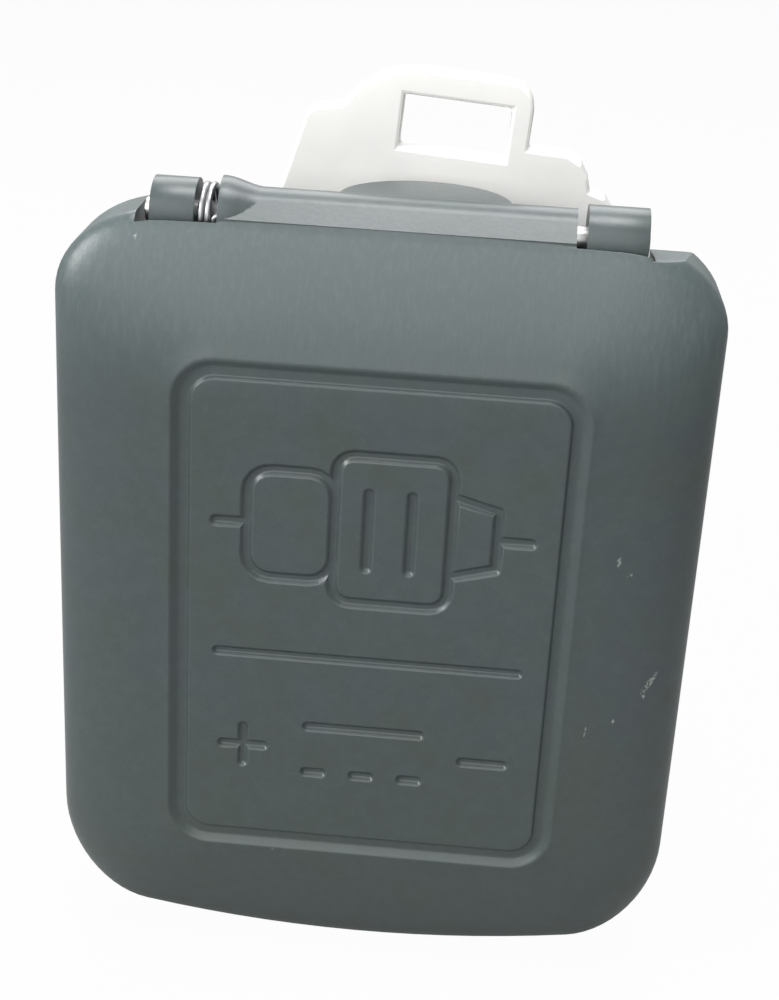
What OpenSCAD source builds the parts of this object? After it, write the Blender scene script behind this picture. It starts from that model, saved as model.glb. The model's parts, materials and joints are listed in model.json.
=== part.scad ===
// Car power socket for a trim panel: a round metal socket in a moulded case, closed by a sprung lid.
// The socket's axis is Y and its mouth is the plane y = 0. The lid faces -Y, and +Z is up.

/* [Lid] */
// Width of the lid
lid_w = 42.6; // [40:0.2:48]
// Height of the lid at its corners, without the bow of its edges
lid_h = 50; // [48:0.5:56]
// How far the lid's middle lies above the socket's axis
lid_up = 0.5; // [0:0.1:1]
// Width of each top corner's curve
top_corner_w = 6.8; // [5:0.2:8]
// Height of each top corner's curve
top_corner_h = 5.4; // [4:0.2:8]
// Width of each bottom corner's curve
bottom_corner_w = 5.8; // [4:0.2:8]
// Height of each bottom corner's curve
bottom_corner_h = 7.2; // [5:0.2:9]
// How far the front stands ahead of the socket's mouth
lid_front_gap = 5; // [4.6:0.1:7]
// Depth of the lid from its front to the edge of its skirt
lid_depth = 7.5; // [6.5:0.1:9]
// How far the front falls back to its rim
lid_drop = 3.4; // [2:0.1:4]
// Wall of the skirt
lid_wall = 1.8; // [1.2:0.1:2.4]
// Thickness of the front from its highest point
lid_skin = 2.4; // [1.8:0.1:2.8]
// Outward bow of the top edge
top_bow = 0.4; // [0:0.1:1]
// Outward bow of the bottom edge
bottom_bow = 2.5; // [1.5:0.1:3]
// Roundness of the side edges, where 2 is an ellipse
side_power = 2.6; // [2:0.1:4]
// Roundness of the top edge, where 2 is an ellipse
top_power = 2; // [1.8:0.1:3]

/* [Panel in the lid] */
// Width of the recessed panel
panel_w = 26.5; // [20:0.5:29]
// Height of the recessed panel
panel_h = 35.5; // [28:0.5:38]
// How far the panel's centre lies below the lid's centre
panel_down = 1.15; // [0.5:0.05:2]
// Radius of the panel's corners
panel_corner_r = 2.8; // [2:0.1:4]
// Depth of the panel's raised middle under the lid's front
panel_depth = 0.15; // [0.05:0.05:0.25]
// Depth of the moat round the panel's middle
moat_depth = 0.4; // [0.3:0.05:0.6]
// Width of the moat
moat_w = 1.3; // [1:0.1:1.6]
// Width of the moat's outer slope
moat_slope = 0.5; // [0.3:0.1:0.6]
// Width of the moat's inner slope
moat_inner_slope = 0.2; // [0.1:0.05:0.3]
// Length of the engraved rule
rule_l = 21; // [12:0.5:22]
// Width of the engraved rule
rule_w = 0.8; // [0.4:0.1:1]
// Depth of the engraved rule
rule_depth = 0.28; // [0.2:0.02:0.4]
// Height of the rule above the socket's axis, below it if negative
rule_z = -3.3; // [-10:0.1:5]

/* [Hinge] */
// How far the hinge pin lies under the lid's top edge
hinge_drop = 0.3; // [0.1:0.1:0.6]
// Distance of the hinge pin ahead of the mouth
hinge_ahead = 0.1; // [0:0.1:0.4]
// Radius of the hinge pin
pin_r = 0.8; // [0.6:0.05:0.9]
// Running clearance of the pin in the lid
pin_play = 0.05; // [0.02:0.01:0.1]
// Clearance of the pin in the ears
pin_seat_play = 0.02; // [0.01:0.01:0.05]
// How far the pin stands out of the left ear
pin_left_out = 0.55; // [0.3:0.05:0.6]
// How far the pin stands out of the right ear
pin_right_out = 0.15; // [0.05:0.05:0.3]
// Width of the step in the lid's edge beside the right ear
step_w = 1.4; // [0.6:0.1:1.6]
// How far that step lies under the pin
step_drop = 0.6; // [0.3:0.1:0.8]
// Radius of the ears
ear_r = 2.2; // [2:0.05:2.4]
// Distance of the left ear's outer face from the lid's side
left_ear_from_side = 6.1; // [5.9:0.1:6.6]
// Width of the left ear
left_ear_w = 2.8; // [2.4:0.1:3.2]
// Distance of the right ear's outer face from the lid's side
right_ear_from_side = 5.5; // [5.2:0.1:6]
// Width of the right ear
right_ear_w = 3.8; // [3:0.1:4]
// Gap beside and round each ear
ear_gap = 0.3; // [0.2:0.05:0.5]
// Radius of the lid's knuckle
knuckle_r = 1.9; // [1.75:0.05:2]
// Gap at the knuckle's left end, where the spring shows
knuckle_left_gap = 1.5; // [1.5:0.1:1.9]
// Gap at the knuckle's right end
knuckle_right_gap = 0.65; // [0.3:0.05:1]
// Radius of the knuckle's swollen left end
swell_r = 2.45; // [2:0.05:2.5]
// Length of the swelling
swell_l = 2.8; // [2:0.1:4]
// Radius of the round stop tongue behind the knuckle
tongue_r = 5.6; // [4.5:0.1:5.8]
// Place of the tongue's middle to the right
tongue_x = 1.8; // [-2:0.1:3]
// Thickness of the tongue
tongue_t = 1.2; // [0.8:0.1:1.5]

/* [Lid spring] */
// Radius of the spring's wire
wire_r = 0.21; // [0.15:0.01:0.21]
// Radius of the coil at the middle of the wire
coil_r = 1.8; // [1.5:0.05:1.85]
// Turns of the coil after its first quarter
coil_turns = 2; // [1:1:2]
// Gap between the coil and what it lies beside
coil_gap = 0.05; // [0.03:0.01:0.06]
// Room round the wire in the lid
wire_room = 0.12; // [0.1:0.01:0.15]
// Length of the leg that lies on the flange
leg_l = 2.7; // [2:0.1:2.8]
// Length of the end that is held in the lid
tang_l = 0.9; // [0.6:0.1:1.2]
// Radius of the bend before that end
bend_r = 0.3; // [0.25:0.05:0.35]

/* [Inside of the lid] */
// Outer radius of the ring that closes round the mouth
dust_ring_r = 15; // [14:0.2:16]
// Wall of that ring
dust_ring_t = 1.2; // [0.8:0.1:1.6]
// Gap between the ring and the front of the case
dust_ring_gap = 0.4; // [0.3:0.1:0.8]
// Length of the ribs that run out from the ring
lid_rib_l = 5; // [3:0.5:5.5]
// Thickness of those ribs
lid_rib_t = 0.9; // [0.6:0.1:1.2]
// Height of those ribs over the lid's inner face
lid_rib_h = 1.2; // [0.8:0.1:1.6]

/* [Case] */
// Gap between the flange's sides and the skirt
flange_gap = 0.5; // [0.3:0.05:1]
// Radius of the flange's corners
flange_corner_r = 8; // [7.5:0.5:9]
// Thickness of the flange
flange_t = 3; // [2.5:0.1:3.5]
// Wall of the barrel
barrel_wall = 1.6; // [1.2:0.1:1.8]
// Room in the case behind the socket's base
rear_room = 6.4; // [6:0.2:9]
// Clearance at each side of the tongue in its relief
relief_gap = 0.6; // [0.4:0.1:1]
// Width of each bayonet lug
lug_angle = 26; // [20:1:32]
// Height of the lugs above the barrel
lug_rise = 1.2; // [0.8:0.1:1.6]
// Length of the lugs along the barrel
lug_l = 1.6; // [1.2:0.1:2.5]
// Width of the barrel's ribs
rib_w = 1.2; // [0.8:0.1:2]
// Height of the barrel's ribs
rib_rise = 0.8; // [0.5:0.1:1.2]

/* [Panel fixing] */
// Thickness of the foam gasket
gasket_t = 1.5; // [1:0.1:2]
// How far the gasket stands in from the flange's sides
gasket_inset = 1.7; // [1:0.1:2.5]
// How far the gasket ends below the tongue's relief
gasket_under = 0.25; // [0.1:0.05:1]
// Thickness of the trim panel that is clamped
trim_t = 2.5; // [2:0.1:3]
// Thickness of the retainer
retainer_t = 2.2; // [1.6:0.1:2.8]
// Width of the retainer's ring outside the slots for the lugs
retainer_rim = 2.4; // [2:0.2:4]
// How far the retainer stands turned from upright
retainer_turn = 4; // [0:0.5:8]
// Height of the retainer's tab above the axis
tab_top = 33.8; // [33:0.2:36]
// Right side of the tab
tab_right = 6; // [5:0.2:8]
// Left side of the tab, where its large corner would end
tab_left = 7.3; // [7:0.1:7.6]
// Radius of the tab's left corner
tab_left_r = 6; // [4:0.5:6]
// Radius of the tab's right corner
tab_right_r = 1.8; // [1:0.1:2.4]
// How far the right shoulder lies under the tab's top
shoulder_drop = 4.2; // [3.6:0.1:5]
// Width of the tab's window
window_w = 7.1; // [5:0.1:8]
// Height of the tab's window
window_h = 3.5; // [2.5:0.1:4]
// How far the window lies under the tab's top
window_drop = 1.7; // [1.4:0.1:2]
// Distance of the window's right side from the tab's right side
window_in = 1.4; // [1:0.1:2]
// Clearance of the barrel in the gasket and the retainer
barrel_play = 0.3; // [0.1:0.05:0.5]

/* [Socket] */
// Inner radius of the socket
bore_r = 10.6; // [10.4:0.05:10.8]
// Wall of the socket shell
shell_t = 0.6; // [0.4:0.05:0.8]
// Clearance of the shell in the case
shell_play = 0.3; // [0.1:0.05:0.4]
// Depth of the socket to its base
bore_l = 38; // [36:0.5:40]
// Depth of the wide bore, to the shoulder in front of the contacts
shoulder_y = 30; // [28:0.5:32]
// How far the shoulder steps in
neck_in = 0.7; // [0.5:0.1:1]
// Radius of the shell's lip
lip_r = 12.8; // [12.4:0.1:13.4]
// Distance of the shell's spring tongues from the mouth
clip_y = 15.2; // [13:0.2:17]
// Width of the shell's spring tongues
clip_w = 4; // [3:0.5:5]
// Length of the shell's spring tongues
clip_l = 12; // [8:0.5:13]
// Width of the slot round each spring tongue
clip_slot = 0.6; // [0.4:0.1:0.8]

/* [Contacts] */
// Thickness of the insulator inside the base
inner_insulator_t = 1.2; // [0.8:0.1:1.6]
// Thickness of the insulator behind the base
outer_insulator_t = 2; // [1.5:0.1:2.5]
// Radius of the insulator behind the base
outer_insulator_r = 4.2; // [3.8:0.1:4.4]
// Radius of the centre contact
contact_r = 3.2; // [2.5:0.1:4]
// Height of the centre contact
contact_h = 1.4; // [1:0.1:1.8]
// How far the washer's and the nut's edge stand out from the stud
nut_rise = 1.5; // [1.2:0.1:1.8]
// Radius of the stud that holds the contact
stud_r = 1.5; // [1.2:0.1:1.8]
// Thickness of the spring washer
washer_t = 0.6; // [0.4:0.1:0.8]
// Thickness of the nut
nut_t = 1.8; // [1.4:0.1:2]
// Thickness of the blades
blade_t = 0.8; // [0.6:0.1:1]
// Width of the blades
blade_w = 6.3; // [4.8:0.1:6.3]
// Distance between the two blades
blade_pitch = 10; // [9.8:0.1:10.6]
// Distance of the rivet from the ground blade
rivet_off = 2.5; // [2.3:0.1:2.6]
// Radius of the rivet that joins the ground blade to the shell
rivet_r = 0.9; // [0.7:0.1:1.1]
// Clearance between pieces that are put together
seat_play = 0.05; // [0.02:0.01:0.1]

/* [Connector] */
// Thickness of the connector housing's base
base_t = 2.5; // [2:0.1:3]
// Wall of the spigot that holds the housing in the case
spigot_wall = 1.6; // [1.2:0.1:1.6]
// Clearance of the spigot in the case
spigot_play = 0.2; // [0.1:0.05:0.3]
// Width of the connector's shroud
shroud_w = 19.6; // [18:0.2:21]
// Height of the connector's shroud
shroud_h = 12.6; // [11:0.2:14]
// Wall of the shroud
shroud_wall = 1.4; // [1:0.1:1.8]
// Depth of the shroud
shroud_l = 13; // [11:0.5:16]
// Distance from the blades' tips to the shroud's edge
blade_back = 2; // [1:0.5:3]
// Height of the latch ramp
latch_rise = 1.5; // [1:0.1:2]

/* [Hidden] */

$fn = 64;
over = 0.5;
lid_front = -lid_front_gap;
lid_back = lid_front + lid_depth;
lid_inner = lid_front + lid_skin;
hinge_y = -hinge_ahead;
top_corner = [top_corner_w, top_corner_h];
bottom_corner = [bottom_corner_w, bottom_corner_h];
lid_top = lid_up + lid_h / 2;
lid_bottom = lid_up - lid_h / 2;
hinge_z = lid_top - hinge_drop;
flange_w = lid_w - 2 * (lid_wall + flange_gap);
flange_h = 2 * (hinge_z - ear_r);
left_ear_out = left_ear_from_side - lid_w / 2;
left_ear_in = left_ear_out + left_ear_w;
right_ear_out = lid_w / 2 - right_ear_from_side;
right_ear_in = right_ear_out - right_ear_w;
knuckle_left = left_ear_in + knuckle_left_gap;
knuckle_right = right_ear_in - knuckle_right_gap;
pocket_left = left_ear_out - pin_left_out - ear_gap;
pocket_right = right_ear_out + pin_right_out + ear_gap;
pocket_r = ear_r + ear_gap;
coil_x = left_ear_in + wire_r + coil_gap;
coil_pitch = (knuckle_left_gap - 2 * (wire_r + coil_gap)) / (coil_turns + 0.25);
coil_end = coil_x + (coil_turns + 0.25) * coil_pitch;
tongue_y = hinge_y - 0.27;
tongue_top = hinge_z + knuckle_r - 0.05;
relief_bottom = hinge_z - norm([tongue_r + tongue_y - hinge_y, tongue_top - hinge_z]) - ear_gap;
panel_top = lid_up - panel_down + panel_h / 2;
panel_bottom = lid_up - panel_down - panel_h / 2;
shell_r = bore_r + shell_t;
neck_r = bore_r - neck_in;
inner_insulator_r = neck_r - 0.3;
barrel_in = shell_r + shell_play;
barrel_r = barrel_in + barrel_wall;
relief_left = tongue_x - tongue_r - relief_gap;
gasket_w = flange_w - 2 * gasket_inset;
gasket_h = 2 * (relief_bottom - gasket_under);
gasket_back = flange_t + gasket_t;
retainer_y = gasket_back + trim_t;
retainer_back = retainer_y + retainer_t;
retainer_r = barrel_r + lug_rise + barrel_play + retainer_rim;
lug_y = retainer_back + seat_play;
base_back = bore_l + shell_t;
case_l = base_back + rear_room;
stack_y = base_back + outer_insulator_t;
washer_back = stack_y + washer_t;
blade_back_y = case_l + base_t + shroud_l - blade_back;
blade_x = blade_pitch / 2;
spigot_r = barrel_in - spigot_play;
spigot_in = spigot_r - spigot_wall;
shroud_y = case_l + base_t;
rivet_x = blade_x + rivet_off;
tab_reach = spigot_in - 0.5;
grey = "#56615f";
white = "#ece9df";
steel = "#b9bcbe";
brass = "#c9a862";

// Upright plate: a flat outline in x and z, from y0 back through its thickness
module plate(y0, t)
    translate([0, y0 + t, 0]) rotate([90, 0, 0]) linear_extrude(t) children();

// Bar along X: a flat outline in y and z, from x0 to x1
module bar_x(x0, x1)
    translate([x0, 0, 0]) rotate([90, 0, 90]) linear_extrude(x1 - x0) children();

module rod_x(x0, x1, r)
    bar_x(x0, x1) translate([hinge_y, hinge_z]) circle(r);

module rod_y(y0, length, r)
    translate([0, y0, 0]) rotate([-90, 0, 0]) cylinder(h = length, r = r, $fn = 96);

module ring_y(y0, length, outer, inner)
    difference() {
        rod_y(y0, length, outer);
        rod_y(y0 - over, length + 2 * over, inner);
    }

module rounded_rect(w, h, r) {
    square([w, h - 2 * r], center = true);
    square([w - 2 * r, h], center = true);
    for (sx = [-1, 1], sz = [-1, 1])
        translate([sx * (w / 2 - r), sz * (h / 2 - r)]) circle(r);
}

// Outlines of the lid, counter-clockwise, with the same count of points whatever their size
corner_steps = 7;
edge_steps = 8;
function arc(cx, cz, size, start) =
    [for (i = [0:corner_steps]) let (a = start + 90 * i / corner_steps)
        [cx + size[0] * cos(a), cz + size[1] * sin(a)]];
function between(p, q) = [for (i = [1:edge_steps - 1]) p + (q - p) * i / edge_steps];
function outline(half, low, high, upper, lower) = concat(
    arc(half - upper[0], high - upper[1], upper, 0),
    between([half - upper[0], high], [upper[0] - half, high]),
    arc(upper[0] - half, high - upper[1], upper, 90),
    arc(lower[0] - half, low + lower[1], lower, 180),
    between([lower[0] - half, low], [half - lower[0], low]),
    arc(half - lower[0], low + lower[1], lower, 270));
function bowed(points, half, low, high) =
    [for (p = points) let (bow = 1 - pow(p[0] / half, 2))
        [p[0], p[1] + bow * (p[1] > 0 ? top_bow * p[1] / high : -bottom_bow * p[1] / low)]];
function lid_outline(inset) = bowed(
    outline(lid_w / 2 - inset, lid_bottom + inset, lid_top - inset,
        top_corner - [inset, inset], bottom_corner - [inset, inset]),
    lid_w / 2, lid_bottom, lid_top);
function panel_outline(inset) =
    let (corner = [panel_corner_r - inset, panel_corner_r - inset])
    outline(panel_w / 2 - inset, panel_bottom + inset, panel_top - inset, corner, corner);

// Closed solid through a row of outlines, from the rearmost to the foremost
module loft(rings) {
    n = len(rings[0]);
    m = len(rings);
    sides = [for (j = [0:m - 2], i = [0:n - 1])
        [j * n + i, (j + 1) * n + i, (j + 1) * n + (i + 1) % n, j * n + (i + 1) % n]];
    front_cap = [for (i = [n - 1:-1:0]) (m - 1) * n + i];
    back_cap = [for (i = [0:n - 1]) i];
    polyhedron(points = [for (r = rings, p = r) p], faces = concat([back_cap], sides, [front_cap]));
}
function set_back(points, y) = [for (p = points) [p[0], y, p[1]]];

// The front runs from the rim to a flat field round the panel along a superellipse
crown_steps = 9;
field_margin = 0.3;
function edge_power(z) = side_power + (top_power - side_power) * pow(max(0, z / lid_top), 3);
function crown(u, z) = let (p = edge_power(z)) lid_drop * (1 - pow(max(0, 1 - pow(u, p)), 1 / p));
function crown_ring(u) =
    let (rim = lid_outline(0), field = panel_outline(-field_margin))
    [for (i = [0:len(rim) - 1]) let (p = field[i] + (rim[i] - field[i]) * u)
        [p[0], lid_front + crown(u, rim[i][1]), p[1]]];

module lid_shell()
    difference() {
        loft(concat([set_back(lid_outline(0), lid_back)],
            [for (i = [0:crown_steps]) crown_ring(pow(cos(90 * i / crown_steps), 2 / side_power))]));
        plate(lid_inner, lid_depth) polygon(lid_outline(lid_wall));
        panel_cut();
    }

// The panel is a flat middle inside a shallow moat with sloped sides
module panel_cut()
    loft([set_back(panel_outline(moat_w), lid_front + panel_depth),
        set_back(panel_outline(moat_w - moat_inner_slope), lid_front + moat_depth),
        set_back(panel_outline(moat_slope), lid_front + moat_depth),
        set_back(panel_outline(0), lid_front),
        set_back(panel_outline(0), lid_front - over)]);

// Groove with a V-shaped section and pointed ends
module rule_cut()
    translate([0, lid_front + panel_depth, rule_z])
        bar_x(-rule_l / 2, rule_l / 2)
            polygon([[rule_depth, 0], [-rule_depth, rule_w], [-rule_depth, -rule_w]]);

// The tangent from the rim's edge to the knuckle gives the leaf its slope
leaf_start = [lid_front + lid_skin, hinge_z + 0.5];
leaf_reach = norm([hinge_y, hinge_z] - leaf_start);
leaf_angle = atan2(leaf_start[1] - hinge_z, leaf_start[0] - hinge_y) - acos(knuckle_r / leaf_reach);
leaf_touch = [hinge_y + knuckle_r * cos(leaf_angle), hinge_z + knuckle_r * sin(leaf_angle)];

module leaf_profile() {
    translate([hinge_y, hinge_z]) circle(knuckle_r);
    polygon([leaf_start, leaf_touch, [hinge_y, hinge_z], [hinge_y, hinge_z - knuckle_r],
        [leaf_start[0], hinge_z - knuckle_r]]);
}

// The knuckle swells beside the spring, on the side that stays clear of the flange when the lid opens
swell_back = 1.3;
module knuckle_swell()
    intersection() {
        translate([knuckle_left, hinge_y, hinge_z])
            rotate([0, 90, 0]) cylinder(h = swell_l, r1 = swell_r, r2 = knuckle_r);
        translate([knuckle_left, hinge_y - swell_r, hinge_z])
            cube([swell_l, swell_r + swell_back, 2 * swell_r]);
    }

// Stop tongue: part of a disc behind the knuckle, which lies over the relief when the lid is open
module tongue()
    intersection() {
        translate([tongue_x, tongue_y, tongue_top - tongue_t]) cylinder(h = tongue_t, r = tongue_r, $fn = 96);
        translate([tongue_x - lid_w / 2, hinge_y, 0]) cube([lid_w, lid_w, lid_h]);
    }

// The lid is open round each ear, from past the pin's end to the knuckle
module ear_pockets() {
    rod_x(pocket_left, knuckle_left, pocket_r);
    rod_x(knuckle_right, pocket_right, pocket_r);
    translate([pocket_left, hinge_y, hinge_z - pocket_r])
        cube([pocket_right - pocket_left, lid_depth, lid_h]);
    translate([right_ear_out, lid_front, hinge_z - step_drop])
        cube([step_w, 2 * lid_depth, lid_h]);
}

module tang_hole()
    translate([0, -coil_r, bend_r])
        rod_x(knuckle_left - over, coil_end + bend_r + tang_l + wire_room, wire_r + wire_room);

// A ring closes round the mouth, and ribs run out from it to the corners
module dust_ring() {
    ring_y(lid_inner - over, over - lid_inner - dust_ring_gap, dust_ring_r, dust_ring_r - dust_ring_t);
    for (a = [45:90:315])
        rotate([0, a, 0])
            translate([dust_ring_r - dust_ring_t / 2, lid_inner - over, -lid_rib_t / 2])
                cube([lid_rib_l + dust_ring_t / 2, lid_rib_h + over, lid_rib_t]);
}

// A nib on the bottom wall catches the flange
nib_w = 6;
nib_t = 1;
nib_top = -flange_h / 2 - 0.4;
module catch_nib()
    translate([-nib_w / 2, lid_back - nib_t, lid_bottom - bottom_bow + lid_wall / 2])
        cube([nib_w, nib_t, nib_top - lid_bottom + bottom_bow - lid_wall / 2]);

module lid() color(grey)
    difference() {
        union() {
            difference() {
                lid_shell();
                ear_pockets();
            }
            bar_x(knuckle_left, knuckle_right) leaf_profile();
            knuckle_swell();
            tongue();
            catch_nib();
            dust_ring();
        }
        rule_cut();
        rod_x(pocket_left, pocket_right, pin_r + pin_play);
        tang_hole();
    }

bumper_x = flange_w / 2 - 3.7;
bumper_z = 4 - flange_h / 2;
bumper_r = 1.5;
module lid_bumpers() color("#2b2e2f")
    for (side = [-1, 1])
        translate([side * bumper_x, 0, bumper_z]) rod_y(lid_inner, -lid_inner - seat_play, bumper_r);

module ear_profile() {
    translate([hinge_y, hinge_z]) circle(ear_r);
    polygon([[0, flange_h / 2 - 1.5], [flange_t, flange_h / 2 - 1.5], [flange_t, flange_h / 2 + 0.6],
        [hinge_y + ear_r, hinge_z], [hinge_y, hinge_z], [hinge_y - 0.85 * ear_r, hinge_z - 0.5 * ear_r],
        [0, flange_h / 2 - 0.6]]);
}

lug_count = 3;
module sector(reach, angle)
    polygon([[0, 0], [reach * cos(90 - angle / 2), reach * sin(90 - angle / 2)],
        [0, reach * 1.1], [reach * cos(90 + angle / 2), reach * sin(90 + angle / 2)]]);

module lugs(y0, length, rise, angle)
    for (i = [0:lug_count - 1])
        intersection() {
            ring_y(y0, length, barrel_r + rise, barrel_r - 0.4);
            plate(y0, length) rotate(60 + i * 360 / lug_count) sector(2 * barrel_r, angle);
        }

clip_window_w = 6;
clip_window_l = 1.8;
clip_window_y = case_l - 1.2 - clip_window_l;
module case() color("#4c5655") {
    difference() {
        union() {
            plate(0, flange_t) rounded_rect(flange_w, flange_h, flange_corner_r);
            rod_y(0, case_l, barrel_r);
            bar_x(left_ear_out, left_ear_in) ear_profile();
            bar_x(right_ear_in, right_ear_out) ear_profile();
            lugs(lug_y, lug_l, lug_rise, lug_angle);
            for (a = [0:90:270])
                rotate([0, a + 45, 0])
                    translate([-rib_w / 2, lug_y + 2 * lug_l, barrel_r - over])
                        cube([rib_w, case_l - lug_y - 2 * lug_l - 2, rib_rise + over]);
        }
        rod_y(-over, case_l + 2 * over, barrel_in);
        rod_y(-over, over + shell_t + seat_play, lip_r + barrel_play);
        translate([relief_left, -over, relief_bottom])
            cube([right_ear_in - relief_left, flange_t + 2 * over, lid_h]);
        for (side = [0, 180])
            rotate([0, side, 0])
                translate([-clip_window_w / 2, clip_window_y, barrel_in - over])
                    cube([clip_window_w, clip_window_l, barrel_wall + rib_rise + 2 * over]);
        rod_x(left_ear_out - over, right_ear_out + over, pin_r + pin_seat_play);
    }
}

module hinge_pin() color(steel)
    rod_x(left_ear_out - pin_left_out, right_ear_out + pin_right_out, pin_r);

// Wire along a path: a ring of points at each step, square to the path and to X
wire_sides = 8;
coil_steps = 16;
function spring_path() = concat(
    [[coil_x, hinge_y + leg_l, flange_h / 2 + wire_r + coil_gap]],
    [for (i = [0:coil_steps * (coil_turns + 0.25)])
        let (turn = i / coil_steps, a = -90 - 360 * turn)
        [coil_x + coil_pitch * turn, hinge_y + coil_r * cos(a), hinge_z + coil_r * sin(a)]],
    [for (a = [30:30:90]) [coil_end + bend_r * (1 - cos(a)), hinge_y - coil_r, hinge_z + bend_r * sin(a)]],
    [[coil_end + bend_r + tang_l, hinge_y - coil_r, hinge_z + bend_r + 0.02]]);
function unit(v) = v / norm(v);
function wire_ring(p, t) =
    let (n = unit(cross(t, [1, 0, 0])), b = cross(t, n))
    [for (k = [0:wire_sides - 1]) let (a = 360 * k / wire_sides) p + wire_r * (cos(a) * n + sin(a) * b)];
function wire_rings(path) =
    [for (i = [0:len(path) - 1])
        wire_ring(path[i], unit(path[min(i + 1, len(path) - 1)] - path[max(i - 1, 0)]))];

module lid_spring() color(steel)
    loft(wire_rings(spring_path()));

module flange_gasket() color("#2c2f30")
    plate(flange_t, gasket_t)
        difference() {
            rounded_rect(gasket_w, gasket_h, flange_corner_r - 1);
            circle(barrel_r + barrel_play, $fn = 96);
        }

shoulder_top = tab_top - shoulder_drop;
tab_foot = 20;
module tab_outline() {
    translate([-tab_left, tab_foot])
        square([tab_left + tab_right, tab_top - tab_foot - tab_left_r]);
    translate([tab_left_r - tab_left, tab_foot])
        square([tab_left + tab_right - tab_left_r - tab_right_r, tab_top - tab_foot]);
    translate([0, tab_foot])
        square([tab_right, tab_top - tab_foot - tab_right_r]);
    translate([tab_left_r - tab_left, tab_top - tab_left_r]) circle(tab_left_r);
    translate([tab_right - tab_right_r, tab_top - tab_right_r]) circle(tab_right_r);
}

// Shoulders: the left one steps up to the tab, the right one lies lower and has a cut corner
module shoulders() {
    left_foot = 2.5 - retainer_r;
    right_foot = retainer_r - 1.7;
    left_side = [[left_foot, 0], [-tab_left - 2.6, tab_top - 8.6], [-tab_left - 1.5, tab_top - 3.9],
        [-tab_left - 1, tab_top - 3.3], [1 - tab_left, tab_top - 2.9]];
    right_side = [[tab_right - 1, shoulder_top], [tab_right + 2.6, shoulder_top],
        [tab_right + 3.6, shoulder_top - 0.5], [tab_right + 4.2, shoulder_top - 1.4],
        [tab_right + 4.4, shoulder_top - 2.2], [tab_right + 5.5, shoulder_top - 2.5],
        [tab_right + 6.3, shoulder_top - 3.5], [right_foot, 0]];
    polygon(concat(left_side, [[0, shoulder_top]], right_side));
}

module retainer() color(white)
    rotate([0, retainer_turn, 0])
        difference() {
            union() {
                rod_y(retainer_y, retainer_t, retainer_r);
                plate(retainer_y, retainer_t) shoulders();
                plate(retainer_y, retainer_t) tab_outline();
            }
            rod_y(retainer_y - over, retainer_t + 2 * over, barrel_r + barrel_play);
            translate([tab_right - window_in - window_w, retainer_y - over, tab_top - window_drop - window_h])
                cube([window_w, retainer_t + 2 * over, window_h]);
            for (i = [0:lug_count - 1])
                intersection() {
                    rod_y(retainer_y - over, retainer_t + 2 * over, barrel_r + lug_rise + barrel_play);
                    plate(retainer_y - over, retainer_t + 2 * over)
                        rotate(i * 360 / lug_count) sector(2 * barrel_r, lug_angle + 4);
                }
        }

module clip_slots()
    for (side = [0, 180])
        rotate([0, side + 90, 0])
            translate([0, clip_y, 0])
                difference() {
                    translate([-clip_w / 2 - clip_slot, 0, bore_r - over])
                        cube([clip_w + 2 * clip_slot, clip_l + clip_slot, shell_t + 2 * over]);
                    translate([-clip_w / 2, -over, bore_r - 2 * over])
                        cube([clip_w, clip_l + over, shell_t + 4 * over]);
                }

module socket_shell() color(steel)
    difference() {
        union() {
            rod_y(0, shoulder_y + shell_t, shell_r);
            rod_y(0, base_back, neck_r + shell_t);
            rod_y(0, shell_t, lip_r);
        }
        rod_y(-over, shoulder_y + over, bore_r);
        rod_y(-over, bore_l + over, neck_r);
        rod_y(bore_l - over, 2 * over + shell_t, outer_insulator_r - 0.4);
        clip_slots();
        translate([rivet_x, 0, 0]) rod_y(bore_l - over, 2 * over + shell_t, rivet_r + seat_play);
    }

module inner_insulator() color("#6a4a33")
    difference() {
        rod_y(bore_l - inner_insulator_t, inner_insulator_t, inner_insulator_r);
        rod_y(bore_l - inner_insulator_t - over, inner_insulator_t + 2 * over, stud_r + seat_play);
        translate([rivet_x, 0, 0])
            rod_y(bore_l - inner_insulator_t - over, inner_insulator_t + 2 * over, rivet_r + 0.9);
    }

contact_y = bore_l - inner_insulator_t - contact_h;
module centre_contact() color(brass)
    translate([0, contact_y, 0]) rotate([-90, 0, 0])
        rotate_extrude($fn = 96)
            difference() {
                union() {
                    translate([0, contact_h / 2]) square([contact_r, contact_h / 2]);
                    square([contact_r - contact_h / 2, contact_h]);
                    translate([contact_r - contact_h / 2, contact_h / 2]) circle(contact_h / 2);
                }
                translate([-contact_r, -over]) square([contact_r + stud_r + seat_play, contact_h + 2 * over]);
                translate([0, contact_h]) square([2 * contact_r, contact_h]);
            }

stud_head_t = 0.6;
stud_back = washer_back + blade_t + nut_t + 0.4;
module contact_stud() color(steel) {
    rod_y(contact_y - stud_head_t, stud_head_t, stud_r + 0.8);
    rod_y(contact_y - over / 5, stud_back - contact_y + over / 5, stud_r);
}

module outer_insulator() color("#6a4a33")
    difference() {
        union() {
            rod_y(base_back, outer_insulator_t, outer_insulator_r);
            rod_y(bore_l, shell_t + over, outer_insulator_r - 0.4 - seat_play);
        }
        rod_y(bore_l - over, outer_insulator_t + shell_t + 2 * over, stud_r + seat_play);
    }

module spring_washer() color(steel)
    difference() {
        ring_y(stack_y, washer_t, stud_r + nut_rise, stud_r + seat_play);
        translate([0, stack_y - over, 0]) rotate([0, 20, 0])
            cube([stud_r / 3, washer_t + 2 * over, stud_r + 2 * nut_rise]);
    }

module contact_nut() color(brass)
    difference() {
        translate([0, washer_back + blade_t, 0])
            rotate([-90, 0, 0]) cylinder(h = nut_t, r = stud_r + nut_rise, $fn = 6);
        rod_y(washer_back + blade_t - over, nut_t + 2 * over, stud_r + seat_play);
    }

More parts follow.
